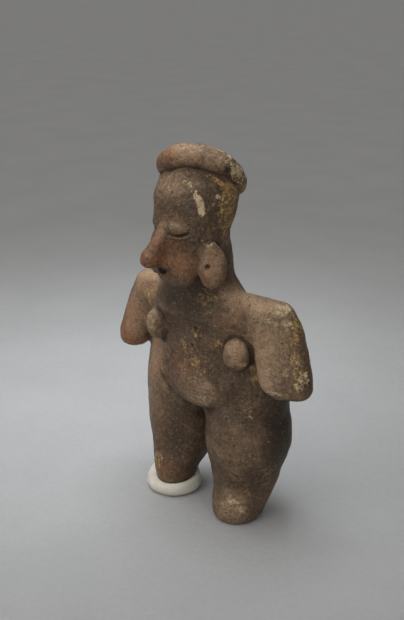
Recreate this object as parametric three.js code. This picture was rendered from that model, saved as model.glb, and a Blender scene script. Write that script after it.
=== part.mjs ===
// A standing woman, modelled by hand in solid terracotta, with a pad of white putty under her shorter right
// leg. Millimetres, +Z up, the figure faces -Y, and her left side is +X. The origin is on the ground, under
// the middle of the figure. The clay is one field of distances to rolls, slabs and pellets that run softly
// into each other, and its skin is the level zero of that field.
import * as THREE from 'three';

// Driving dimensions
const STANCE = 18.4; // from the middle to the middle of each foot
const SHORT_LEG = 6; // the right leg ends this far above the ground
const HIPS = { wide: 36, deep: 17 };
const WAIST = { wide: 31.6, deep: 14.2 };
const SHOULDERS = { wide: 30, deep: 10, height: 104 };
const ARM_TURN = 36; // degrees, each arm's flat side faces outward and forward
const HEAD_TURN = -10; // degrees, toward her right
const HEAD = { wide: 18.2, deep: 16.6, height: 146 }; // at its widest
const BAND = { at: [0, 1.1, 154], half: [14.3, 14.2], roll: 4.6, sag: 0.006, turn: [-33, -10.5, 0] };
const PUTTY = { x: -20.2, y: 3.5, wide: 12.8, deep: 12.6, height: 8.8, slant: 0.22 };
const GAP = 0.3; // between the putty and the foot it holds

const rad = THREE.MathUtils.degToRad;

// Soft union of two distances: the seam is filled over a width of about `soft`.
function blend(a, b, soft) {
  const h = Math.max(soft - Math.abs(a - b), 0) / soft;
  return Math.min(a, b) - (h * h * soft) / 4;
}

// Soft cut of the form b out of the form a.
function carve(a, b, soft) {
  return -blend(-a, b, soft);
}

// Soft overlap of two distances.
function trim(a, b, soft) {
  return -blend(-a, -b, soft);
}

// Distance to an oval or an egg, from coordinates divided by the half sizes. A `power` above 2 squares it up.
function ovalDistance(scaled, half, power = 2) {
  if (Math.hypot(...scaled) < 1e-6) return -Math.min(...half);
  const reach = scaled.reduce((sum, v) => sum + Math.abs(v) ** power, 0) ** (1 / power);
  const slope = Math.hypot(...scaled.map((v, i) => (Math.abs(v) / reach) ** (power - 1) / half[i]));
  return (reach - 1) / slope;
}

// A frame of its own, placed by a point and by turns about x, then y, then z, in degrees.
function placed(at, turn, distance) {
  const back = new THREE.Matrix4()
    .makeRotationFromEuler(new THREE.Euler(...turn.map(rad), 'ZYX'))
    .setPosition(...at)
    .invert();
  const q = new THREE.Vector3();
  return (p) => distance(q.copy(p).applyMatrix4(back));
}

// A pellet of clay: an egg of three half sizes.
function pellet({ at, half, turn = [0, 0, 0] }) {
  return placed(at, turn, (q) => ovalDistance([q.x / half[0], q.y / half[1], q.z / half[2]], half));
}

// A roll of clay bent into an oval ring, which sags at two opposite quarters.
function ring({ at, half, roll, turn, sag }) {
  return placed(at, turn, (q) => {
    const out = ovalDistance([q.x / half[0], q.y / half[1]], half);
    return Math.hypot(out, q.z + sag * q.x * q.y) - roll;
  });
}

// An upright limb: oval sections, each [height, centre x, centre y, half width, half depth], turned by `spin`
// degrees about the vertical. The ends are rounded over by `round`.
function limb({ stations, spin = 0, round = 3, power = 2 }) {
  const heights = stations.map((row) => row[0]);
  const sections = new THREE.CubicInterpolant(heights, stations.flatMap((row) => row.slice(1)), 4);
  const [low, high] = [heights[0], heights.at(-1)];
  const [c, s] = [Math.cos(rad(spin)), Math.sin(rad(spin))];
  return (p) => {
    const [x, y, wide, deep] = sections.evaluate(THREE.MathUtils.clamp(p.z, low, high));
    const dx = p.x - x;
    const dy = p.y - y;
    const side = ovalDistance([(dx * c + dy * s) / wide, (dy * c - dx * s) / deep], [wide, deep], power);
    return trim(side, Math.max(low - p.z, p.z - high), round);
  };
}

const leftLeg = limb({
  stations: [
    [0, STANCE, 4.8, 10.6, 11.2],
    [5, 18.5, 5.4, 11.4, 12.4],
    [9, 18.7, 6.4, 12.2, 13.6],
    [15, 19.2, 8.4, 13.2, 15],
    [24, 19.6, 9.2, 15.4, 16.6],
    [33, 20, 9.6, 18.2, 18.8],
    [42, 20, 9.8, 18.6, 19],
    [58, 20, 9.4, 15, 15],
    [74, 18, 7.4, 9, 9],
  ],
});
const rightLeg = limb({
  stations: [
    [SHORT_LEG, -STANCE, 2, 8, 8.6],
    [10, -18.4, 3.2, 9.4, 10],
    [15, -18.6, 5.6, 11.2, 12],
    [23, -18.4, 8.4, 13.8, 14.6],
    [34, -19.2, 10.4, 16, 16.8],
    [44, -19.8, 10.4, 16.6, 17],
    [58, -20, 9.4, 15, 15],
    [74, -18, 7.4, 9, 9],
  ],
});
const torso = limb({
  stations: [
    [48, 0.5, 10.9, 30, 14],
    [58, 0.5, 10.9, HIPS.wide, HIPS.deep],
    [69, 0.6, 8.4, 33.2, 15],
    [76, 0.5, 6.8, WAIST.wide, WAIST.deep],
    [84, 0.5, 5, 32, 13.4],
    [94, 0, 3.4, 33, 12.5],
    [SHOULDERS.height, 0, 2.4, SHOULDERS.wide, SHOULDERS.deep],
  ],
  round: 10,
});
const neck = limb({
  stations: [
    [97, 0, 2.4, 19, 12],
    [106, 0, 1, 16.6, 12.4],
    [114, 0.4, -0.6, 15.2, 13],
    [124, 0.4, -2.2, 14.4, 13.6],
    [132, 0, -3.6, 13.5, 13],
  ],
});

const head = limb({
  stations: [
    [110, -1, -5.6, 10, 9],
    [116, -1, -6.1, 12, 11],
    [124, -0.5, -5.6, 15, 13.5],
    [132, 0, -4.7, 16.8, 15.3],
    [140, 0, -3.2, 18, 16.4],
    [HEAD.height, 0, -2.2, HEAD.wide, HEAD.deep],
    [152, 0, -0.4, 17.2, 15.6],
    [157, 0, 0.6, 14.6, 13.4],
    [162, 0, 1, 12, 11.6],
    [168, 0, 1, 11, 11],
  ],
  spin: HEAD_TURN,
});
const band = ring(BAND);
const top = placed(BAND.at, BAND.turn, (q) => q.z - 1.5);
const crown = pellet({ at: BAND.at, half: [13, 13, 6.4], turn: BAND.turn });
const nose = limb({
  stations: [
    [118.2, -3.8, -22, 4.6, 6.8],
    [122, -3.7, -21.8, 4.6, 6.8],
    [128, -3.2, -19.6, 3.7, 4.1],
    [134, -2.8, -16.4, 2.2, 1.4],
  ],
  spin: HEAD_TURN,
  round: 2.5,
});
const tip = pellet({ at: [-4.2, -25.6, 122.2], half: [3.6, 3.4, 3.8] });
const jaw = pellet({ at: [-0.6, -12.6, 116], half: [11.4, 8, 8], turn: [0, 0, HEAD_TURN] });
const mouth = pellet({ at: [-3.2, -20.6, 115.8], half: [2.6, 2.6, 1.6] });
const ear = (side) => pellet({
  at: [side * 15.6, -9.8, 119.2],
  half: [3.4, 6, 9.8],
  turn: [side * 6, 0, -side * 32],
});
const ears = [ear(1), ear(-1)];

const leftArm = limb({
  stations: [
    [66, 45.4, 2.6, 10.6, 5.6],
    [72, 44.8, 3, 11, 6],
    [82, 42.2, 4.2, 10.8, 6.4],
    [94, 38.4, 5, 10.4, 6.8],
    [105, 34, 3.9, 9.5, 6.4],
  ],
  spin: ARM_TURN,
  round: 5,
  power: 2.4,
});
const rightArm = limb({
  stations: [
    [68, -45.6, 2.4, 10.4, 6.2],
    [74, -44.4, 3, 10.6, 6.4],
    [82, -42, 4, 10.6, 6.4],
    [93, -38, 5, 10, 6.6],
    [103, -32.6, 4.4, 8.6, 6],
  ],
  spin: -ARM_TURN,
  round: 4,
  power: 2.4,
});
const arms = [leftArm, rightArm];
const breasts = [
  pellet({ at: [25.4, -5, 82.3], half: [5.5, 5.6, 7] }),
  pellet({ at: [-18.6, -6.6, 85.2], half: [5, 5.6, 7.2] }),
];
const apron = pellet({ at: [4.6, -2, 66.5], half: [19, 8.2, 14.6], turn: [-12, 0, 0] });

function clay(p) {
  let body = blend(leftLeg(p), rightLeg(p), 3);
  body = blend(body, torso(p), 8);
  body = blend(body, neck(p), 10);
  for (const arm of arms) body = blend(body, arm(p), 8.5);
  body = blend(body, apron(p), 4);
  for (const breast of breasts) body = blend(body, breast(p), 2.4);
  let face = blend(trim(head(p), top(p), 3), crown(p), 2);
  face = blend(face, nose(p), 2);
  face = blend(face, tip(p), 1.5);
  face = blend(face, jaw(p), 4);
  face = blend(face, band(p), 1.8);
  for (const flap of ears) face = blend(face, flap(p), 1.8);
  return carve(blend(body, face, 3), mouth(p), 1.5);
}

const pad = limb({
  stations: [
    [0, PUTTY.x, PUTTY.y, PUTTY.wide - 0.6, PUTTY.deep - 0.6],
    [3, PUTTY.x, PUTTY.y, PUTTY.wide, PUTTY.deep],
    [7, PUTTY.x, PUTTY.y, PUTTY.wide - 0.4, PUTTY.deep - 0.4],
    [12, PUTTY.x, PUTTY.y, PUTTY.wide - 2.6, PUTTY.deep - 2.6],
  ],
  round: 3,
});
const lip = (p) => (p.z - PUTTY.height - PUTTY.slant * (p.y - PUTTY.y)) * 0.97;
const putty = (p) => Math.max(trim(pad(p), lip(p), 3), GAP - clay(p));

// Grid lines along one axis: from a start, through stretches of [end, step].
function lines(start, ...stretches) {
  const at = [start];
  for (const [end, step] of stretches) {
    const from = at.at(-1);
    const count = Math.round((end - from) / step);
    for (let n = 1; n <= count; n++) at.push(from + ((end - from) * n) / count);
  }
  return at;
}

// Moves a point onto the level zero of a field, by a few short steps along the slope.
function settle(field, point, longest) {
  const STEP = 0.05;
  const probe = new THREE.Vector3();
  const slope = new THREE.Vector3();
  for (let pass = 0; pass < 3; pass++) {
    const here = field(point);
    slope.set(
      field(probe.copy(point).setX(point.x + STEP)) - here,
      field(probe.copy(point).setY(point.y + STEP)) - here,
      field(probe.copy(point).setZ(point.z + STEP)) - here,
    ).divideScalar(STEP);
    const steep = Math.max(slope.lengthSq(), 0.25);
    point.add(slope.multiplyScalar(-here / steep).clampLength(0, longest));
  }
}

// Evens out the mesh: each vertex goes toward the middle of its neighbours, then back onto the surface.
function relax(field, positions, triangles) {
  const count = positions.length / 3;
  const point = new THREE.Vector3();
  for (let round = 0; round < 3; round++) {
    const sums = new Float64Array(positions.length);
    const shares = new Float64Array(count);
    for (let t = 0; t < triangles.length; t += 3)
      for (const [a, b] of [[0, 1], [1, 2], [2, 0]]) {
        const [from, to] = [triangles[t + a], triangles[t + b]];
        for (let axis = 0; axis < 3; axis++) sums[3 * from + axis] += positions[3 * to + axis];
        shares[from]++;
      }
    for (let n = 0; n < count; n++) {
      point.set(sums[3 * n], sums[3 * n + 1], sums[3 * n + 2]).divideScalar(shares[n]);
      point.lerp(new THREE.Vector3().fromArray(positions, 3 * n), 0.5);
      settle(field, point, 0.6);
      point.toArray(positions, 3 * n);
    }
  }
}

// The edges of a grid cell as pairs of corners, four along each axis. Bit 0, 1 or 2 of a corner's number is
// set on the high side in x, y or z.
const AXES = [0, 1, 2];
const EDGES = AXES.flatMap((axis) => [0, 1, 2, 3].map((m) => {
  const low = ((m & 1) << ((axis + 1) % 3)) | ((m >> 1) << ((axis + 2) % 3));
  return [low, low | (1 << axis)];
}));
const FACES = AXES.flatMap((axis) => [0, 1].map((side) =>
  [...EDGES.keys()].filter((e) => EDGES[e].every((corner) => ((corner >> axis) & 1) === side))));

// Names the sheet of skin that each cut edge of a cell belongs to, for every way its corners can lie. `mask`
// has the bits of the corners in the clay. Where a face is cut four times, its clay corners stay apart.
const SHEETS = Array.from({ length: 256 }, (_, mask) => {
  const inside = (corner) => (mask >> corner) & 1;
  const sheet = EDGES.map(([a, b], e) => (inside(a) === inside(b) ? -1 : e));
  const join = ([e, f]) => {
    const old = sheet[e];
    for (const n of sheet.keys()) if (sheet[n] === old) sheet[n] = sheet[f];
  };
  for (const face of FACES) {
    const cut = face.filter((e) => sheet[e] >= 0);
    if (cut.length === 2) join(cut);
    if (cut.length === 4)
      for (let corner = 0; corner < 8; corner++) {
        const around = cut.filter((e) => inside(corner) && EDGES[e].includes(corner));
        if (around.length === 2) join(around);
      }
  }
  return sheet;
});

// The skin of a field over a grid: one vertex for each sheet in each cell that the surface passes through,
// settled onto the surface, and a pair of triangles across each grid line that the surface cuts.
function skin(field, grid) {
  const size = grid.map((lines) => lines.length);
  const stride = [1, size[0], size[0] * size[1]];
  const total = size[0] * size[1] * size[2];
  const place = (n) => AXES.map((axis) => Math.floor(n / stride[axis]) % size[axis]);
  const spot = (n) => new THREE.Vector3(...place(n).map((at, axis) => grid[axis][at]));
  const value = Float32Array.from({ length: total }, (_, n) => field(spot(n)));
  const shift = (corner) => AXES.reduce((sum, axis) => sum + ((corner >> axis) & 1) * stride[axis], 0);

  const positions = [];
  const vertexOf = new Map();
  for (let cell = 0; cell < total; cell++) {
    if (place(cell).some((at, axis) => at + 1 >= size[axis])) continue;
    let mask = 0;
    for (let corner = 0; corner < 8; corner++) if (value[cell + shift(corner)] < 0) mask |= 1 << corner;
    for (const sheet of new Set(SHEETS[mask].filter((name) => name >= 0))) {
      const middle = new THREE.Vector3();
      let count = 0;
      EDGES.forEach((ends, e) => {
        if (SHEETS[mask][e] !== sheet) return;
        const [a, b] = ends.map((corner) => cell + shift(corner));
        middle.add(spot(a).lerp(spot(b), value[a] / (value[a] - value[b])));
        vertexOf.set(cell * 12 + e, positions.length / 3);
        count++;
      });
      positions.push(...middle.divideScalar(count));
    }
  }

  const triangles = [];
  const point = (n) => new THREE.Vector3().fromArray(positions, 3 * n);
  const AROUND = [[1, 1], [0, 1], [0, 0], [1, 0]];
  for (let n = 0; n < total; n++)
    for (const axis of AXES) {
      const next = n + stride[axis];
      if (next >= total || value[n] < 0 === value[next] < 0) continue;
      const [u, v] = [(axis + 1) % 3, (axis + 2) % 3];
      const loop = AROUND.map(([du, dv]) =>
        vertexOf.get((n - du * stride[u] - dv * stride[v]) * 12 + axis * 4 + du + 2 * dv));
      if (value[n] >= 0) loop.reverse();
      const [a, b, c, d] = loop;
      const across = point(a).distanceToSquared(point(c)) <= point(b).distanceToSquared(point(d));
      triangles.push(...(across ? [a, b, c, a, c, d] : [b, c, d, b, d, a]));
    }
  relax(field, positions, triangles);
  const geometry = new THREE.BufferGeometry();
  geometry.setAttribute('position', new THREE.Float32BufferAttribute(positions, 3));
  geometry.setIndex(triangles);
  geometry.computeVertexNormals();
  return geometry;
}

const material = (color, roughness) => new THREE.MeshStandardMaterial({ color, roughness, metalness: 0 });
const figure = new THREE.Mesh(
  skin(clay, [
    lines(-64, [-28, 4.4], [-11, 2.5], [17, 2.7], [33, 2.5], [64, 4.4]),
    lines(-36, [10, 2.5], [36, 4.2]),
    lines(-4.5, [12, 2.9], [72, 5.2], [92, 2.8], [104, 4.2], [174, 2.5]),
  ]),
  material(0x5b4336, 0.8),
);
figure.name = 'figure';
const support = new THREE.Mesh(
  skin(putty, [lines(-37, [-3, 2.4]), lines(-14, [20, 2.4]), lines(-3, [14.4, 2.2])]),
  material(0xd8d4cc, 0.9),
);
support.name = 'putty';
const part = new THREE.Group();
part.add(figure, support);
export default part;
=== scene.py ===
"""Looks of the terracotta figurine on its pad of putty. Sizes are in millimetres until a mesh is made."""

import math

import bmesh
import bpy
import numpy as np
from mathutils import Euler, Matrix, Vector, noise


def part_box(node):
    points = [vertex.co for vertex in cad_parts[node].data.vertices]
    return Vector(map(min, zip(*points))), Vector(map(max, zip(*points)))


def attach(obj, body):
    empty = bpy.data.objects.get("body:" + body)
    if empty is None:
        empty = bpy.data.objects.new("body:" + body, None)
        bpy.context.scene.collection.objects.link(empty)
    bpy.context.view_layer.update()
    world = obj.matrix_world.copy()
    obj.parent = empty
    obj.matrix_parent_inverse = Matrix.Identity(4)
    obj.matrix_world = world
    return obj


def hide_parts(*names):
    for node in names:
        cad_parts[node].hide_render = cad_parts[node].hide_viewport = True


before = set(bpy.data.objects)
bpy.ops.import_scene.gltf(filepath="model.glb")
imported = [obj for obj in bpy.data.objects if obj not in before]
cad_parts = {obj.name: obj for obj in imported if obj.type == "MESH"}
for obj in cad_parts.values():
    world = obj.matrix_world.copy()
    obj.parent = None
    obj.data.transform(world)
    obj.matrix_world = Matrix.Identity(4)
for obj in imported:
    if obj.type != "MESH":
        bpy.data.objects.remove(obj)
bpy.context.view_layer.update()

MM = 0.001
STANCE = 18.4
SHORT_LEG = 6
ARM_TURN = 36
HEAD_TURN = -10
HEAD_AXIS = (0, -4.7)
BAND = {"at": (0, 1.1, 154), "half": (14.3, 14.2), "roll": 4.6, "sag": 0.006, "turn": (-33, -10.5, 0)}
PUTTY = {"x": -20.2, "y": 3.5, "wide": 12.8, "deep": 12.6, "height": 8.8, "slant": 0.22}
GAP = 0.3
CORNER_WEAR = 3.5

# Upright forms: rows of height, centre x and y, half width and half depth
LEFT_LEG = [
    (0, STANCE, 4.8, 10.6, 11.2),
    (5, 18.5, 5.4, 11.4, 12.4),
    (9, 18.7, 6.4, 12.2, 13.6),
    (15, 19.2, 8.4, 13.2, 15),
    (24, 19.6, 9.2, 15.4, 16.6),
    (33, 20, 9.6, 18.2, 18.8),
    (42, 20, 9.8, 18.6, 19),
    (58, 20, 9.4, 15, 15),
    (74, 18, 7.4, 9, 9),
]
RIGHT_LEG = [
    (SHORT_LEG, -STANCE, 2, 8, 8.6),
    (10, -18.4, 3.2, 9.4, 10),
    (15, -18.6, 5.6, 11.2, 12),
    (23, -18.4, 8.4, 13.8, 14.6),
    (34, -19.2, 10.4, 16, 16.8),
    (44, -19.8, 10.4, 16.6, 17),
    (58, -20, 9.4, 15, 15),
    (74, -18, 7.4, 9, 9),
]
TORSO = [
    (48, 0.5, 10.9, 30, 14),
    (58, 0.5, 10.9, 36, 17),
    (69, 0.6, 8.4, 33.2, 15),
    (76, 0.5, 6.8, 31.6, 14.2),
    (84, 0.5, 5, 32, 13.4),
    (94, 0, 3.4, 33, 12.5),
    (104, 0, 2.4, 30, 10),
]
NECK = [
    (97, 0, 2.4, 19, 12),
    (106, 0, 1, 16.6, 12.4),
    (114, 0.4, -0.6, 15.2, 13),
    (124, 0.4, -2.2, 14.4, 13.6),
    (132, 0, -3.6, 13.5, 13),
]
HEAD = [
    (110, -1, -5.6, 10, 9),
    (116, -1, -6.1, 12, 11),
    (124, -0.5, -5.6, 15, 13.5),
    (132, 0, -4.7, 16.8, 15.3),
    (140, 0, -3.2, 18, 16.4),
    (146, 0, -2.2, 18.2, 16.6),
    (152, 0, -0.4, 17.2, 15.6),
    (157, 0, 0.6, 14.6, 13.4),
    (162, 0, 1, 12, 11.6),
    (168, 0, 1, 11, 11),
]
NOSE = [
    (118.2, -3.8, -22, 4.6, 6.8),
    (122, -3.7, -21.8, 4.6, 6.8),
    (128, -3.2, -20.6, 3.7, 4.4),
    (134, -2.6, -17.6, 2.8, 2.4),
]
LEFT_ARM = [
    (66, 45.4, 2.6, 10.6, 5.6),
    (72, 44.8, 3, 11, 6),
    (82, 42.2, 4.2, 10.8, 6.4),
    (94, 38.4, 5, 10.4, 6.8),
    (105, 34, 3.9, 9.5, 6.4),
]
RIGHT_ARM = [
    (68, -45.6, 2.4, 10.4, 6.2),
    (74, -44.4, 3, 10.6, 6.4),
    (82, -42, 4, 10.6, 6.4),
    (93, -38, 5, 10, 6.6),
    (103, -32.6, 4.4, 8.6, 6),
]
PUTTY_PAD = [
    (0, PUTTY["x"], PUTTY["y"], PUTTY["wide"] - 0.6, PUTTY["deep"] - 0.6),
    (3, PUTTY["x"], PUTTY["y"], PUTTY["wide"], PUTTY["deep"]),
    (7, PUTTY["x"], PUTTY["y"], PUTTY["wide"] - 0.4, PUTTY["deep"] - 0.4),
    (12, PUTTY["x"], PUTTY["y"], PUTTY["wide"] - 2.6, PUTTY["deep"] - 2.6),
]


def blend(a, b, soft):
    """Soft union of two distances."""
    near = np.maximum(soft - np.abs(a - b), 0) / soft
    return np.minimum(a, b) - near * near * soft / 4


def carve(a, b, soft):
    """A soft-edged hollow of b in a."""
    return -blend(-a, b, soft)


def trim(a, b, soft):
    """What two forms share, with a soft edge."""
    return -blend(-a, -b, soft)


def oval_distance(scaled, half, power=2.0):
    """Distance to an oval or an egg, from coordinates divided by its half sizes."""
    scaled = np.abs(scaled) + 1e-9
    reach = (scaled**power).sum(1) ** (1 / power)
    slope = np.sqrt((((scaled / reach[:, None]) ** (power - 1) / half) ** 2).sum(1))
    return (reach - 1) / slope


def turned(points, at, turn):
    """Points seen from a frame placed at `at` and turned about x, then y, then z, in degrees."""
    return (points - at) @ np.array(Euler([math.radians(a) for a in turn]).to_matrix())


def pellet(points, at, half, turn=(0, 0, 0)):
    half = np.array(half, float)
    return oval_distance(turned(points, at, turn) / half, half)


def ring(points, at, half, roll, sag, turn):
    """A roll of clay bent into an oval ring, twisted a little out of its plane."""
    own = turned(points, at, turn)
    half = np.array(half, float)
    out = oval_distance(own[:, :2] / half, half)
    return np.hypot(out, own[:, 2] + sag * own[:, 0] * own[:, 1]) - roll


def profile(rows, heights):
    """Rows of values made smooth over the height, each slope the mean of its neighbours' secants."""
    rows = np.array(rows, float)
    at, values = rows[:, 0], rows[:, 1:]
    secants = np.diff(values, axis=0) / np.diff(at)[:, None]
    slopes = np.vstack([secants[:1], (secants[1:] + secants[:-1]) / 2, secants[-1:]])
    z = np.clip(heights, at[0], at[-1])
    n = np.clip(np.searchsorted(at, z, side="right") - 1, 0, len(at) - 2)
    span = (at[n + 1] - at[n])[:, None]
    t = (z - at[n])[:, None] / span
    ends = values[n] * (1 + 2 * t) * (1 - t) ** 2 + values[n + 1] * t * t * (3 - 2 * t)
    return ends + span * t * (1 - t) * (slopes[n] * (1 - t) - slopes[n + 1] * t)


def limb(points, rows, spin=0.0, round_over=3.0, power=2.0):
    x, y, wide, deep = profile(rows, points[:, 2]).T
    c, s = math.cos(math.radians(spin)), math.sin(math.radians(spin))
    dx, dy = points[:, 0] - x, points[:, 1] - y
    half = np.stack([wide, deep], 1)
    side = oval_distance(np.stack([dx * c + dy * s, dy * c - dx * s], 1) / half, half, power)
    ends = np.maximum(rows[0][0] - points[:, 2], points[:, 2] - rows[-1][0])
    return trim(side, ends, round_over)


def ear(points, side):
    return pellet(points, (side * 15.6, -9.8, 119.2), (3.4, 6, 9.8), (side * 6, 0, -side * 32))


def left_arm(points):
    """The left arm, with the inner corner of its broken end worn away."""
    turn = math.radians(ARM_TURN)
    low, x, y, wide, _ = LEFT_ARM[0]
    across = (points[:, 0] - x) * math.cos(turn) + (points[:, 1] - y) * math.sin(turn)
    corner = (CORNER_WEAR - across - wide - (points[:, 2] - low)) * math.sqrt(0.5)
    return trim(limb(points, LEFT_ARM, ARM_TURN, 5, 2.4), corner, 5)


def clay(points):
    """Distance to the figurine's surface, its rolls and pellets joined by the seams they were left with."""
    body = blend(limb(points, LEFT_LEG), limb(points, RIGHT_LEG), 3)
    body = blend(body, limb(points, TORSO, round_over=10), 8)
    body = blend(body, limb(points, NECK), 10)
    body = blend(body, left_arm(points), 8.5)
    body = blend(body, limb(points, RIGHT_ARM, -ARM_TURN, 4, 2.4), 8.5)
    body = blend(body, pellet(points, (4.6, -2, 66.5), (19, 8.2, 14.6), (-12, 0, 0)), 3)
    body = blend(body, pellet(points, (25.4, -5.2, 82.3), (5.7, 5.6, 7)), 1.4)
    body = blend(body, pellet(points, (-18.6, -6.8, 85.4), (5.2, 5.8, 7.2)), 1.7)
    top = turned(points, BAND["at"], BAND["turn"])[:, 2] - 1.5
    face = trim(limb(points, HEAD, HEAD_TURN), top, 3)
    face = blend(face, pellet(points, BAND["at"], (13, 13, 6.4), BAND["turn"]), 2)
    face = blend(face, limb(points, NOSE, HEAD_TURN, 2.5), 2)
    face = blend(face, pellet(points, (-4.2, -25.6, 122), (3.5, 3.4, 3.6)), 2)
    face = blend(face, pellet(points, (-0.6, -12.6, 116), (11.4, 8, 8), (0, 0, HEAD_TURN)), 4)
    face = blend(face, ring(points, **BAND), 0.7)
    for side in (1, -1):
        face = blend(face, ear(points, side), 1.8)
    mouth = pellet(points, (-3.2, -20.6, 115.8), (2.4, 2.4, 1.2))
    return carve(blend(body, face, 3), mouth, 1)


def putty(points):
    pad = limb(points, PUTTY_PAD)
    lip = (points[:, 2] - PUTTY["height"] - PUTTY["slant"] * (points[:, 1] - PUTTY["y"])) * 0.97
    return np.maximum(trim(pad, lip, 3), GAP - clay(points))


def slope(field, points, here):
    """Gradient of a field at points, from short steps along each axis."""
    step = 0.05
    return np.stack([(field(points + step * axis) - here) / step for axis in np.eye(3)], 1)


def settle(field, points, rounds=3):
    """Points moved onto a field's surface, down its slope."""
    for _ in range(rounds):
        here = field(points)
        rise = slope(field, points, here)
        steep = np.maximum((rise**2).sum(1), 0.25)
        move = rise * (-here / steep)[:, None]
        length = np.linalg.norm(move, axis=1, keepdims=True)
        points = points + move * np.minimum(1, 0.8 / np.maximum(length, 1e-9))
    return points


def outward(field, points):
    rise = slope(field, points, field(points))
    return rise / np.maximum(np.linalg.norm(rise, axis=1, keepdims=True), 1e-9)


def dab(points, at, half, height, firm=2.0):
    """A fingertip's press or a small swelling: `height` in its middle, fading at `half` from it."""
    reach = np.sqrt((((points - at) / half) ** 2).sum(1))
    return height * np.exp(-(reach**firm))


def stroke(points, path, width, height, firm=2.0):
    """A line pressed or raised along a path of points, each with its own share of the height."""
    total = np.zeros(len(points))
    for (*a, start), (*b, end) in zip(path, path[1:]):
        a, b = np.array(a, float), np.array(b, float)
        along = np.clip((points - a) @ (b - a) / ((b - a) @ (b - a)), 0, 1)
        away = np.linalg.norm(points - a - along[:, None] * (b - a), axis=1)
        share = start + (end - start) * along
        total = np.maximum(total, share * np.exp(-((away / width) ** firm)))
    return height * total


def other_side(point):
    """The matching point on the right half of the face."""
    turn = math.radians(HEAD_TURN)
    across = np.array([math.cos(turn), math.sin(turn)])
    flat = np.array(point[:2], float)
    flat -= 2 * ((flat - HEAD_AXIS) @ across) * across
    return (*flat, *point[2:])


def ripple(points, length, seed):
    """Soft uneven noise of about one, with waves of the given length."""
    shift = Vector((seed * 7.3, seed * 3.1, seed * 5.7))
    return np.array([noise.noise(Vector(p) + shift) for p in points / length]) * 2


LID_PUFF = (5.0, -19.5, 134.6)
EYE_SLIT = [
    (1.4, -20.1, 131.6, 0.5),
    (4, -19.7, 131.4, 0.8),
    (6, -19.2, 131.6, 0.9),
    (8, -18.5, 132.2, 1),
    (9.7, -17.6, 133.1, 0.6),
]
LOWER_LID = [(1.2, -20, 130.5, 0.6), (5.9, -19.1, 130.5, 1), (10.6, -17, 132.1, 0.5)]
UNDER_EYE = (5.1, -19.1, 128.4)
MOUTH_LINE = [(-6.5, -18.4, 114.6, 0.4), (-3, -20, 115.4, 1), (0, -20.6, 116, 0.9), (2.4, -21, 116.8, 0.5)]
EAR_HOLE = (16.7, -13.6, 119.6)
RIGHT_EAR_HOLE = (-17.7, -11.6, 119.6)
NOSE_NUB = (-2.4, -28.4, 122.3)


# Presses and swellings: centre, half sizes, height and firmness
DABS = [
    ((2.7, -19.3, 141), (7, 5, 3), -0.3, 2),
    ((-2.5, -20.4, 112.6), (5, 3, 1.4), 0.4, 2),
    (NOSE_NUB, (1.5, 1.5, 1.5), 0.5, 4),
    (NOSE_NUB, (0.7, 0.7, 0.7), -0.45, 2),
    ((15.2, -11.6, 128.4), (2.4, 2.4, 1.6), -0.2, 2),
    ((17.4, -7.6, 127.4), (2, 2.4, 1.6), -0.25, 2),
    ((17, -3.6, 123.6), (2, 2.4, 2), -0.25, 2),
    ((18.3, -10.5, 123.5), (2, 3, 3.4), -0.35, 2),
    ((16.6, -13, 115.5), (2, 2.4, 2.4), 0.35, 2),
    ((17.6, -2.5, 157), (1, 1.3, 1.1), -0.9, 3),
    ((-1.6, -15.2, 160.4), (0.9, 0.9, 0.6), -0.5, 2),
    ((0.6, -15.1, 160), (0.6, 0.6, 0.5), -0.4, 2),
    ((5.3, -9, 89.2), (0.7, 2, 0.9), -0.6, 3),
    ((2.7, -8.1, 81), (0.8, 2, 1), -0.6, 3),
    ((-7, -9, 96), (0.6, 2, 0.8), -0.6, 3),
    ((12, -7.5, 92), (0.5, 2, 0.7), -0.6, 3),
    ((30.6, -7.5, 79.6), (1.6, 2.4, 1.2), 0.45, 3),
    ((27, -10, 77.4), (3, 2, 1), -0.5, 2),
]
# Lines: width, height and a path whose points each end with their share of the height
LINES = [
    (0.75, -1, MOUTH_LINE),
    (0.28, -0.35, [(-1, -20.3, 132, 0.7), (-1.9, -22.1, 129.4, 1)]),
    (0.9, 0.35, [(10, -8, 166.3, 0.6), (13.5, -5, 164.6, 1), (16.5, -1.8, 161.9, 0.6)]),
    (1.7, -0.6, [(32, -4.3, 90, 0.3), (32.2, -3.9, 86, 1), (32, -2.5, 80, 1), (31, 0, 71, 0.8)]),
    (1.6, -0.5, [(-22, -5, 68, 0.3), (-18.8, -6.3, 62.6, 1), (-11.5, -6.2, 55.1, 1), (-5, -2.8, 49.1, 1)]),
    (1.7, -0.5, [(-5, -2, 48, 1), (2, -5.5, 49.5, 1), (9.4, -7.2, 52, 1), (15.5, -7, 55.4, 0.8)]),
    (1.5, -0.25, [(19.6, -7.3, 23.3, 0.4), (26, -5.5, 22.1, 1), (30.2, -1, 18.9, 0.5)]),
    (1.3, -0.6, [(-31, -4.5, 96, 0.4), (-29, -5, 92, 1), (-27.5, -4.5, 87, 0.5)]),
]
# Unevenness of the hand: wave length and height
WAVES = [(15, 0.3), (6, 0.15), (2.4, 0.07)]


def eye(points, place):
    push = dab(points, place(LID_PUFF), (5.2, 4, 2.5), 0.75, 2.6)
    push += dab(points, place(UNDER_EYE), (4.8, 4, 2.3), -0.7)
    push += stroke(points, [place(p) for p in LOWER_LID], 0.55, 0.45)
    return push + stroke(points, [place(p) for p in EYE_SLIT], 0.6, -1.9)


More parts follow.
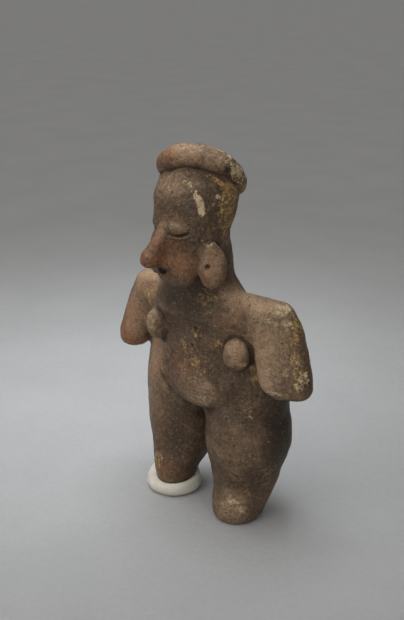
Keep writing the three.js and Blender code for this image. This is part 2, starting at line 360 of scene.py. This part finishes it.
def fine_work(points):
    """How far each point of the clay is pushed out or in by fingers, tools and later knocks."""
    push = eye(points, tuple) + eye(points, other_side)
    for hole in (EAR_HOLE, RIGHT_EAR_HOLE):
        push += dab(points, hole, (1.1, 1.1, 1.1), -2.6, 4)
        push += dab(points, hole, (2.2, 2.2, 2.2), -0.25)
    for at, half, height, firm in DABS:
        push += dab(points, at, half, height, firm)
    for width, height, path in LINES:
        push += stroke(points, path, width, height)
    for seed, (length, height) in enumerate(WAVES, 1):
        push += ripple(points, length, seed) * height
    return push


def middle(edge):
    return (edge.verts[0].co + edge.verts[1].co) / 2


def split_again(work, centre, radius):
    """Splits the edges near a centre, so that finer work fits there."""
    centre = Vector(centre) * MM
    near = [e for e in work.edges if (middle(e) - centre).length < radius * MM]
    bmesh.ops.subdivide_edges(work, edges=near, cuts=1, use_grid_fill=True)
    bmesh.ops.triangulate(work, faces=work.faces)


def fine_copy(node, name, finer=()):
    """A merged copy of a solid's mesh, with each triangle split in sixteen and more around the finer work."""
    work = bmesh.new()
    work.from_mesh(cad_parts[node].data)
    bmesh.ops.remove_doubles(work, verts=work.verts, dist=0.002 * MM)
    for centre, radius in finer:
        split_again(work, centre, radius)
    bmesh.ops.subdivide_edges(work, edges=work.edges, cuts=3, use_grid_fill=True)
    bmesh.ops.triangulate(work, faces=work.faces)
    mesh = bpy.data.meshes.new(name)
    work.to_mesh(mesh)
    work.free()
    return mesh


def coordinates(mesh):
    flat = np.empty(len(mesh.vertices) * 3)
    mesh.vertices.foreach_get("co", flat)
    return flat.reshape(-1, 3) / MM


def even_out(mesh, points, share=0.5):
    """Moves each point toward the mean of its neighbours."""
    ends = np.empty(len(mesh.edges) * 2, int)
    mesh.edges.foreach_get("vertices", ends)
    a, b = ends.reshape(-1, 2).T
    total = np.zeros_like(points)
    np.add.at(total, a, points[b])
    np.add.at(total, b, points[a])
    count = np.bincount(ends, minlength=len(points))
    return points + share * (total / count[:, None] - points)


def keep_in_box(points, node):
    low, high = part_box(node)
    return np.clip(points, np.array(low) / MM, np.array(high) / MM)


def finished(mesh, points, node):
    """Puts a piece's points in place, and lets it stand for its solid."""
    mesh.vertices.foreach_set("co", (keep_in_box(points, node) * MM).ravel())
    mesh.update()
    mesh.shade_smooth()
    piece = bpy.data.objects.new(mesh.name, mesh)
    bpy.context.scene.collection.objects.link(piece)
    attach(piece, "root")
    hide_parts(node)
    return piece


def on_surface(mesh, field):
    points = settle(field, coordinates(mesh))
    for _ in range(2):
        points = settle(field, even_out(mesh, points), 1)
    return points


def patches(points, spots):
    """Zone strength from spots of centre, half sizes and share."""
    total = np.zeros(len(points))
    for at, half, share in spots:
        total = np.maximum(total, dab(points, at, half, share, 3))
    return total


def streaks(points, lines):
    total = np.zeros(len(points))
    for width, *path in lines:
        total = np.maximum(total, stroke(points, path, width, 1, 3))
    return total


REDDENED = [
    ((-2.5, -22.5, 128), (4.5, 6, 6), 0.7),
    ((-4, -26, 121.5), (6, 7, 5.5), 0.95),
    ((1, -23, 122), (4, 6, 5), 0.85),
    ((6.5, -18, 121), (7, 6, 7), 0.7),
    ((9.6, -15.8, 119), (5, 6, 6), 0.6),
    ((5, -19, 129), (6, 4, 2.5), 0.55),
    ((3, -19, 112), (8, 6, 4), 0.45),
    ((15.4, -13.7, 114), (3.6, 4, 4), 0.75),
    ((18, -11.6, 121), (4, 4, 7), 0.35),
    ((-4, -15, 162.5), (7, 6, 5), 0.7),
    ((-11, -11, 159), (6, 6, 5), 0.6),
    ((4, -19.5, 138), (7, 4, 2.5), 0.4),
    ((17.5, -1, 142), (3, 7, 12), 0.45),
    ((-6.5, -18, 145), (9, 6, 7), 0.25),
    ((-31, -3, 97), (11, 9, 10), 0.42),
    ((-38, -4, 84), (9, 8, 10), 0.6),
    ((-43, -4, 72), (9, 8, 8), 1),
    ((-3, -9, 70), (14, 7, 11), 0.42),
    ((22, -6, 96), (6, 6, 8), 0.4),
    ((10, -9, 90), (7, 6, 8), 0.25),
    ((-18, -4, 14), (10, 8, 7), 0.6),
    ((-19, -6, 34), (10, 8, 14), 0.25),
    ((-22, -4, 66), (10, 8, 16), 0.35),
]
OCHRE_SPOTS = [
    ((17.8, -0.7, 147.5), (3, 6, 5), 0.85),
    ((18.1, -2.4, 142.8), (3, 6, 5), 0.85),
    ((17.5, -2.5, 137.6), (3, 5.4, 5), 0.75),
    ((16.8, -2.1, 132), (3, 5, 4), 0.6),
    ((12, 9, 146), (9, 8, 12), 0.5),
    ((15.8, -6.8, 85), (1.9, 3, 2.8), 0.75),
    ((6, -9, 87), (5, 3, 4), 0.36),
    ((4, -9, 76), (10, 4, 8), 0.34),
    ((46.8, 7, 97), (3, 4, 4.5), 0.75),
    ((47.5, 4.5, 91), (2.4, 4, 4), 0.55),
    ((49, 2.4, 84), (2.2, 4, 4.5), 0.62),
    ((51.4, 2.6, 78), (2.6, 4, 4.5), 0.6),
    ((-17, -9.5, 84.5), (1.6, 3, 3), 0.55),
    ((-27, -5, 95), (3, 3, 4), 0.5),
    ((-21, -6, 17), (4, 5, 5), 0.5),
    ((12, -8, 104), (5, 5, 5), 0.38),
    ((30.4, -0.5, 74), (2.4, 3, 6), 0.42),
    ((32, -4, 18), (4, 6, 6), 0.42),
    ((36, 4, 24), (5, 6, 10), 0.4),
    ((18, 4, 153), (3, 6, 2.4), 0.55),
]
OCHRE_LINES = [
    (1.3, (-2, -13.5, 157.6, 0.3), (6.3, -12.1, 156.5, 0.45), (12, -9.3, 155, 0.6), (15.7, -6.1, 152.8, 0.7)),
    (1.6, (15.7, -6.1, 152.8, 0.7), (17.2, -3, 151.1, 0.75), (17.8, 0, 150, 0.7)),
    (1.2, (15.9, -11, 139, 0.35), (16.2, -10, 133, 0.45)),
]
CRUST_SPOTS = [
    ((18.5, 2, 156.4), (4, 4.4, 3.6), 0.62),
    ((17.9, -1.6, 159.4), (3, 2.8, 2.6), 0.55),
    ((18.2, 5.5, 153.4), (3, 3, 2.4), 0.45),
    ((10.9, -15, 148.2), (1.5, 3, 1.8), 0.6),
    ((16.9, -8, 147.3), (1.1, 2, 1.5), 0.55),
    ((16.3, -10.2, 144.6), (1, 2, 1.5), 0.45),
    ((17.6, -5.6, 141), (2, 3, 4), 0.35),
    ((12.8, -14.5, 129.7), (0.9, 2, 1.1), 0.6),
    ((42, 4, 103.4), (5, 6, 3), 0.62),
    ((39, -1, 101), (6, 4, 3.4), 0.45),
    ((45, 3, 97), (3, 4, 4), 0.4),
    ((46, -2, 79), (5, 4, 7), 0.32),
    ((50, 2, 82), (2, 4, 5), 0.45),
    ((52.4, 3, 76), (2.4, 4, 4), 0.55),
    ((44, -4, 70.5), (8, 4, 2.2), 0.45),
    ((24, -5.6, 12), (3.4, 5, 4), 0.52),
    ((27, -3, 8.6), (6, 5, 3.4), 0.48),
    ((31.6, -5, 38), (3, 4, 8), 0.3),
    ((31, -2.5, 55.4), (3, 4, 6), 0.3),
    ((28.4, -9, 86.5), (4, 4, 4), 0.25),
    ((30.4, -5.6, 79.9), (1.3, 2, 1.4), 0.55),
    ((9, -9.5, 58), (8, 4, 5), 0.34),
    ((4.5, -10, 68), (8, 4, 7), 0.28),
    ((-8, -5, 8), (4, 4, 3), 0.4),
]
CRUST_LINES = [
    (1.7, (9, -8, 166.2, 0.4), (11, -6.7, 166, 0.8), (13.7, -3.9, 164.6, 0.95), (16, -0.4, 162, 0.8)),
    (2.4, (10, -9.3, 164.6, 0.3), (15.2, -6.2, 162, 0.4), (17.7, -1.9, 159.7, 0.5)),
    (1.8, (11.2, -15, 147.6, 0.6), (12.2, -14.7, 146, 0.75), (13.3, -14.3, 144.2, 0.8)),
    (2.1, (13.1, -14.3, 144.2, 0.75), (13.5, -14.1, 141.8, 0.75)),
    (2.4, (-1, -14, 155.6, 0.3), (2.8, -14.2, 154.7, 0.36), (8.6, -14.6, 151.3, 0.42)),
    (2.2, (8.6, -14.6, 151.3, 0.42), (11.2, -14.4, 148.9, 0.4)),
    (0.7, (16.4, -9.6, 136.5, 0.55), (16.4, -9.6, 133.6, 0.35)),
    (0.6, (17.3, -4.6, 136.6, 0.45), (17.2, -4.4, 133.4, 0.45)),
    (1, (14.8, -11.8, 127.6, 0.4), (16.2, -10, 128.7, 0.65), (17.6, -7.8, 127.2, 0.65)),
    (1, (17.6, -7.8, 127.2, 0.65), (17.6, -4, 124.6, 0.6)),
    (0.5, (1.2, -20, 130.4, 0.3), (5.9, -19.1, 130.4, 0.5), (10.6, -17, 132, 0.4)),
]
ROOTED = [((39, -1.5, 99), (5, 6, 4), 0.6), ((44.4, 2.5, 97.6), (3.4, 4, 4), 0.6)]
# Smoke stains from the fire, with painted shade on the chest and neck under the head, under the nose, ears
# and arms, and between the thighs under the belly
SMOKE_AND_SHADE_SPOTS = [
    ((0, -9, 101), (17, 9, 9), 0.7),
    ((9, -10, 107), (9, 6, 6), 0.75),
    ((7, -10, 94), (10, 6, 8), 0.5),
    ((-6, -8, 90), (8, 6, 8), 0.4),
    ((17, -6, 149.5), (3.6, 4, 4), 0.5),
    ((17.4, -7.8, 142.4), (2.4, 4, 4), 0.4),
    ((8, -17, 143), (7, 5, 7), 0.3),
    ((15.5, -8, 128), (3, 4, 7), 0.45),
    ((19, -1, 116), (5, 6, 10), 0.75),
    ((13, -13, 119), (1.6, 4, 7), 0.4),
    ((38, 13, 44), (7, 15, 26), 0.9),
    ((34, 2, 28), (6, 10, 10), 0.45),
    ((17.5, -2.4, 155.6), (2.6, 4, 2.2), 0.6),
    ((17.4, -3.3, 157.8), (0.9, 2, 0.9), 0.8),
    ((-3, -24, 117.5), (5, 5, 1.6), 0.5),
    ((-4, -19.5, 116), (3, 3, 2), 0.5),
    ((-12, -5, 30), (7, 8, 13), 0.5),
    ((-19, -6, 42), (9, 6, 12), 0.3),
    ((-8, 2, 12), (5, 8, 7), 0.5),
    ((9, -6, 45), (3, 8, 9), 0.4),
    ((24, -6, 64), (8, 5, 6), 0.4),
    ((39, -4, 68), (9, 5, 2.2), 0.75),
    ((50, 2, 66), (8, 7, 2.4), 0.8),
    ((54, 6, 80), (3, 6, 14), 0.5),
    ((0, 12, 60), (16, 12, 20), 0.5),
    ((-10, 14, 140), (9, 6, 14), 0.5),
]
WORN = [
    ((4, -13, 165), (13, 7, 5), 0.7),
    ((14, -7, 162), (6, 6, 5), 0.7),
    ((22, 0, 105), (10, 8, 6), 0.95),
    ((33, 1, 102), (12, 8, 8), 0.7),
    ((40, -3, 86), (10, 8, 20), 0.7),
    ((27, -8.5, 85), (6, 5, 7), 0.5),
    ((-2, -16, 152), (12, 8, 5), 0.4),
    ((4.6, -19.5, 134.8), (5, 4, 2.4), 0.5),
    ((-1.8, -19.5, 133), (3, 4, 4), 0.5),
    ((-30, 0, 100), (12, 8, 10), 0.85),
    ((-37, -4, 85), (9, 8, 12), 0.75),
    ((-20, -8, 86), (5, 5, 7), 0.6),
    ((-24, -3, 72), (9, 8, 18), 0.75),
    ((-24, -4, 48), (8, 8, 14), 0.4),
    ((24, -6, 11), (7, 6, 8), 0.65),
    ((18, -11.6, 120), (4, 5, 9), 1),
    ((27, -6, 40), (9, 6, 10), 0.2),
    ((9, -10, 62), (10, 5, 8), 0.35),
    ((13, 20, 105), (16, 12, 12), 0.4),
]
BRUSHED = [((4, -8, 68), (24, 10, 18), 1), ((4, -8, 92), (26, 8, 10), 0.8), ((28, -5, 95), (14, 9, 12), 0.5)]


def wander(points, length, reach):
    """Points shifted unevenly, so that a stain drawn from them has an uneven outline."""
    return points + reach * np.array([noise.noise_vector(Vector(p)) for p in points / length])


def bumpiness(mesh, points, rounds):
    """How far each point stands above its evened surroundings: hollows are negative."""
    smooth = points
    for _ in range(rounds):
        smooth = even_out(mesh, smooth)
    mesh.vertices.foreach_set("co", (points * MM).ravel())
    mesh.update()
    normals = np.empty(len(points) * 3)
    mesh.vertices.foreach_get("normal", normals)
    return ((points - smooth) * normals.reshape(-1, 3)).sum(1)


def mark(mesh, name, values):
    attribute = mesh.attributes.new(name, "FLOAT", "POINT")
    attribute.data.foreach_set("value", np.clip(values, 0, 1))


# Stains and wear on the clay, with painted shade in its hollows and under the head, arms and belly
def mark_stains_and_shade(mesh, points):
    loose = wander(wander(points, 9, 1.6), 3, 0.7)
    mark(mesh, "reddened", patches(loose, REDDENED))
    mark(mesh, "ochre", np.maximum(patches(loose, OCHRE_SPOTS), streaks(loose, OCHRE_LINES)))
    mark(mesh, "crusted", np.maximum(patches(loose, CRUST_SPOTS), streaks(loose, CRUST_LINES)))
    mark(mesh, "rooted", patches(loose, ROOTED))
    # Smoke stains, together with painted shade under the head, nose, ears, arms and belly
    mark(mesh, "smoke_and_shade", patches(loose, SMOKE_AND_SHADE_SPOTS))
    mark(mesh, "worn", patches(loose, WORN) + np.clip(bumpiness(mesh, points, 8) / 0.6, 0, 0.4))
    mark(mesh, "brushed", patches(points, BRUSHED))
    # Concave places, which the clay paints darker as dirt and painted shade
    mark(mesh, "hollow", -bumpiness(mesh, points, 4) / 0.22)


FINER = [
    ((0, -19, 128), 17),
    (EAR_HOLE, 7),
    ((5.6, -19, 131.8), 6.5),
    (MOUTH_LINE[2][:3], 4.5),
    (EAR_HOLE, 2.5),
    (NOSE_NUB, 3),
    ((17, -2, 158), 5),
]


def model_figurine():
    mesh = fine_copy("figure", "figurine", FINER)
    points = on_surface(mesh, clay)
    lift = fine_work(points)
    lift *= np.clip((points[:, 2] - 0.2) / 2, 0, 1)
    points = points + outward(clay, points) * lift[:, None]
    mark_stains_and_shade(mesh, points)
    return finished(mesh, points, "figure")


def model_putty_pad():
    mesh = fine_copy("putty", "putty_pad")
    points = on_surface(mesh, putty)
    lift = ripple(points, 7, 5) * 0.3 + ripple(points, 2.5, 6) * 0.08
    lift *= np.clip((points[:, 2] - 0.2) / 2, 0, 1) * np.clip((clay(points) - GAP - 0.05) / 1.5, 0, 1)
    points = points + outward(putty, points) * lift[:, None]
    # Concave places, which the putty paints darker as dirt and painted shade
    mark(mesh, "hollow", -bumpiness(mesh, points, 4) / 0.3)
    return finished(mesh, points, "putty")


def lay_floor():
    sheet = bmesh.new()
    bmesh.ops.create_grid(sheet, x_segments=2, y_segments=2, size=6)
    mesh = bpy.data.meshes.new("floor")
    sheet.to_mesh(mesh)
    sheet.free()
    floor = bpy.data.objects.new("floor", mesh)
    bpy.context.scene.collection.objects.link(floor)
    return floor


FOCAL_LENGTH = 58.06
CAMERA_PLACE = (273.96, -292.81, 239.94)
CAMERA_DIP = 20
CAMERA_SIDE = 43


def set_camera():
    """Stands in front and to the figurine's left, looking down on it by CAMERA_DIP degrees."""
    lens = bpy.data.cameras.new("camera")
    lens.lens = FOCAL_LENGTH
    lens.clip_start = 0.01
    camera = bpy.data.objects.new("camera", lens)
    camera.location = Vector(CAMERA_PLACE) * MM
    camera.rotation_euler = [math.radians(angle) for angle in (90 - CAMERA_DIP, 0, CAMERA_SIDE)]
    bpy.context.scene.collection.objects.link(camera)
    bpy.context.scene.camera = camera


def soft_light(name, place, size, power, spread=180, aim=(0, 0, 60), colour=(1, 1, 1)):
    light = bpy.data.lights.new(name, "AREA")
    light.shape = "DISK"
    light.size = size * MM
    light.energy = power
    light.color = colour
    light.spread = math.radians(spread)
    hang(light, place, aim)


def sky_light(name, toward, width, power, colour=(1, 0.985, 0.95)):
    light = bpy.data.lights.new(name, "SUN")
    light.angle = math.radians(width)
    light.energy = power
    light.color = colour
    hang(light, toward, (0, 0, 0))


def hang(light, place, aim):
    lamp = bpy.data.objects.new(light.name, light)
    lamp.location = Vector(place) * MM
    lamp.rotation_euler = (Vector(aim) - Vector(place)).to_track_quat("-Z", "Y").to_euler()
    bpy.context.scene.collection.objects.link(lamp)


def light_the_table():
    """Wide window light from the left, a pale ceiling, a lit room in front, and a glow on the table."""
    sky_light("ceiling", (-73, -68, 1000), 150, 0.25)
    sky_light("front_window", (44, -779, 600), 120, 0.6)
    sky_light("back_window", (-848, 29, 600), 120, 0.4)
    sky_light("room", (614, -658, 500), 90, 0.5)
    soft_light("lamp", (-78, -531, 654), 600, 1.3)
    soft_light("table_glow", (-95, 40, 400), 260, 0.25, 80, (-110, 60, 0), (0.94, 0.97, 1))
    world = bpy.data.worlds.new("room")
    world.use_nodes = True
    world.node_tree.nodes["Background"].inputs["Color"].default_value = (1, 0.98, 0.94, 1)
    world.node_tree.nodes["Background"].inputs["Strength"].default_value = 0.06
    bpy.context.scene.world = world


class Finish:
    """A material built up from noise, marks left on the surface, and plain colours."""

    def __init__(self, name, specular):
        self.material = bpy.data.materials.new(name)
        self.material.use_nodes = True
        self.tree = self.material.node_tree
        self.shader = self.tree.nodes["Principled BSDF"]
        self.shader.inputs["Specular IOR Level"].default_value = specular
        self.place = self.node("TexCoord", {}).outputs["Object"]

    def node(self, kind, sockets, **settings):
        node = self.tree.nodes.new("ShaderNode" + kind)
        for key, value in settings.items():
            setattr(node, key, value)
        for key, value in sockets.items():
            if isinstance(value, bpy.types.NodeSocket):
                self.tree.links.new(value, node.inputs[key])
            else:
                node.inputs[key].default_value = value
        return node

    def zone(self, name):
        return self.node("Attribute", {}, attribute_name=name).outputs["Fac"]

    def sums(self, start, *terms):
        """A start value plus any number of value and share pairs."""
        total = start
        for value, share in terms:
            sockets = {0: value, 1: share, 2: total}
            total = self.node("Math", sockets, operation="MULTIPLY_ADD").outputs[0]
        return total

    def times(self, a, b):
        return self.node("Math", {0: a, 1: b}, operation="MULTIPLY").outputs[0]

    def between(self, value, low, high, top=1.0):
        sockets = {"Value": value, "From Min": low, "From Max": high, "To Max": top}
        return self.node("MapRange", sockets, interpolation_type="SMOOTHSTEP").outputs[0]

    def mix(self, share, under, over):
        under, over = [c if isinstance(c, bpy.types.NodeSocket) else (*c, 1) for c in (under, over)]
        return self.node("Mix", {0: share, 6: under, 7: over}, data_type="RGBA").outputs[2]

    def stretched(self, stretch):
        return self.node("Mapping", {"Vector": self.place, "Scale": stretch}).outputs[0]

    def mottle(self, size, detail=3.0, rough=0.6, stretch=(1, 1, 1)):
        """Noise of a given grain size in millimetres, about one half on average."""
        place = self.place if stretch == (1, 1, 1) else self.stretched(stretch)
        sockets = {"Vector": place, "Scale": 1 / (size * MM), "Detail": detail, "Roughness": rough}
        return self.node("TexNoise", sockets).outputs["Fac"]

    def cells(self, size, feature="F1", place=None):
        sockets = {"Vector": place or self.place, "Scale": 1 / (size * MM)}
        return self.node("TexVoronoi", sockets, feature=feature)

    def specks(self, size, reach, share):
        """Round specks, up to `reach` of a cell wide, in a share of cells of the given size."""
        cell = self.cells(size)
        near = self.between(cell.outputs["Distance"], reach, reach * 0.4)
        pick = self.node("SeparateColor", {"Color": cell.outputs["Color"]}).outputs[0]
        return self.times(near, self.between(pick, 1 - share - 0.1, 1 - share + 0.1))

    def done(self, colour, roughness, relief, depth):
        """Connects colour, roughness and a relief of the given depth in millimetres to the shader."""
        sockets = {"Height": relief, "Distance": depth * MM, "Strength": 1.0}
        normal = self.node("Bump", sockets).outputs["Normal"]
        for name, socket in (("Base Color", colour), ("Roughness", roughness), ("Normal", normal)):
            self.tree.links.new(socket, self.shader.inputs[name])
        return self.material


DARK_CLAY = (0.08, 0.048, 0.027)
PALE_CLAY = (0.36, 0.235, 0.142)
RED_CLAY = (0.25, 0.108, 0.05)
# Near black: smoke stains and pinholes, and also painted shade
SOOT_AND_SHADE_DARK = (0.028, 0.016, 0.008)
OCHRE = (0.17, 0.088, 0.026)
PALE_OCHRE = (0.48, 0.32, 0.13)
LIME = (0.6, 0.46, 0.28)
PUTTY_WHITE = (0.8, 0.76, 0.67)
PUTTY_GREY = (0.66, 0.62, 0.53)
# Dark of grime, and painted shade, in the putty's dents
PUTTY_DIRT_AND_SHADE = (0.2, 0.17, 0.12)
PALE_GREY = (0.42, 0.423, 0.43)
PALER_GREY = (0.47, 0.472, 0.477)


def fired_clay():
    """Brown burnished clay, paler where worn, reddened and blackened by fire, with earth and lime on it, and
    with painted shade in its hollows and under the head, arms and belly.
    """
    look = Finish("fired_clay", 0.35)
    wide = look.mottle(16, 2)
    mid = look.mottle(4.5, 4, 0.65)
    grain = look.mottle(1.5, 3, 0.7)
    fine = look.mottle(0.6, 2, 0.7)
    worn = look.sums(look.zone("worn"), (wide, 0.5), (mid, 0.6), (grain, 0.6))
    colour = look.mix(look.between(worn, 0.6, 1.9), DARK_CLAY, PALE_CLAY)

    red = look.sums(look.zone("reddened"), (mid, 0.7), (grain, 0.5))
    colour = look.mix(look.between(red, 0.6, 1.7, 0.9), colour, RED_CLAY)

    # Smoke stains, and painted shade under the head, nose, ears, arms and belly
    soot_and_shade = look.sums(look.zone("smoke_and_shade"), (mid, 0.6), (wide, 0.3), (grain, 0.3))
    colour = look.mix(look.between(soot_and_shade, 0.6, 1.6, 0.9), colour, SOOT_AND_SHADE_DARK)

    earth = look.sums(look.zone("ochre"), (mid, 0.8), (grain, 0.9), (fine, 0.4))
    tint = look.mix(look.between(grain, 0.35, 0.7), OCHRE, PALE_OCHRE)
    colour = look.mix(look.between(earth, 1.25, 1.7, 0.9), colour, tint)

    lime = look.sums(look.zone("crusted"), (mid, 0.7), (grain, 0.9), (fine, 0.5))
    crust = look.between(lime, 1.36, 1.68, 0.95)
    colour = look.mix(crust, colour, LIME)

    drift = look.node("TexNoise", {"Vector": look.place, "Scale": 260.0, "Detail": 3.0})
    bent = look.node(
        "VectorMath",
        {0: drift.outputs["Color"], 1: (0.006, 0.006, 0.006), 2: look.place},
        operation="MULTIPLY_ADD",
    ).outputs[0]
    edges = look.cells(4.4, "DISTANCE_TO_EDGE", bent).outputs["Distance"]
    rooted = look.sums(look.zone("rooted"), (mid, 0.6), (grain, 0.5))
    broken = look.between(rooted, 0.85, 1.2)
    roots = look.times(look.between(edges, 0.12, 0.02), broken)
    colour = look.mix(look.times(roots, 0.6), colour, LIME)

    some = look.between(look.sums(0.0, (mid, 0.6), (wide, 0.6)), 0.45, 0.75)
    temper = look.specks(1.1, 0.4, 0.3)
    colour = look.mix(look.times(look.times(temper, some), 0.38), colour, LIME)
    pinholes = look.specks(1.7, 0.3, 0.25)
    colour = look.mix(look.times(pinholes, 0.75), colour, SOOT_AND_SHADE_DARK)

    # Darker in hollows and creases: dirt, and painted shade
    dirt_and_shade = look.sums(look.zone("hollow"), (grain, 0.3))
    colour = look.mix(look.between(dirt_and_shade, 0.3, 1.15, 0.85), colour, SOOT_AND_SHADE_DARK)

    value = look.sums(-0.35, (fine, 1.3), (grain, 1.4))
    shade = look.node("HueSaturation", {"Color": colour, "Value": value})
    roughness = look.sums(0.42, (grain, 0.2), (crust, 0.3), (look.zone("hollow"), 0.2))

    strokes = look.mottle(0.8, 2, 0.5, (0.12, 0.12, 1))
    relief = look.sums(
        look.times(grain, 0.5),
        (fine, 0.35),
        (mid, 0.3),
        (crust, 0.25),
        (roots, 0.2),
        (pinholes, -0.35),
        (look.times(strokes, look.zone("brushed")), 0.8),
    )
    return look.done(shade.outputs[0], roughness, relief, 0.8)


def white_putty():
    """Off-white putty, greyer in patches, with grime and painted shade darkening its dents."""
    look = Finish("white_putty", 0.4)
    grain = look.mottle(1.2, 3)
    mid = look.mottle(5, 3)
    patchy = look.sums(0.0, (mid, 0.7), (grain, 0.3))
    colour = look.mix(look.between(patchy, 0.35, 0.7), PUTTY_GREY, PUTTY_WHITE)
    # Darker in dents: dirt, and painted shade
    dirt_and_shade = look.sums(look.zone("hollow"), (grain, 0.3))
    colour = look.mix(look.between(dirt_and_shade, 0.3, 1.0, 0.7), colour, PUTTY_DIRT_AND_SHADE)
    relief = look.sums(look.times(grain, 0.3), (mid, 0.7))
    return look.done(colour, look.sums(0.45, (grain, 0.15)), relief, 0.3)


def floor_paper():
    look = Finish("floor_paper", 0.3)
    fibres = look.mottle(3, 4, 0.7)
    blotches = look.mottle(60, 3)
    shade = look.sums(0.0, (fibres, 0.5), (blotches, 0.5))
    colour = look.mix(look.between(shade, 0.3, 0.7), PALE_GREY, PALER_GREY)
    return look.done(colour, look.sums(0.7, (fibres, 0.1)), fibres, 0.2)


set_camera()
light_the_table()
lay_floor().data.materials.append(floor_paper())
model_figurine().data.materials.append(fired_clay())
model_putty_pad().data.materials.append(white_putty())
bpy.context.scene.view_settings.view_transform = "Standard"
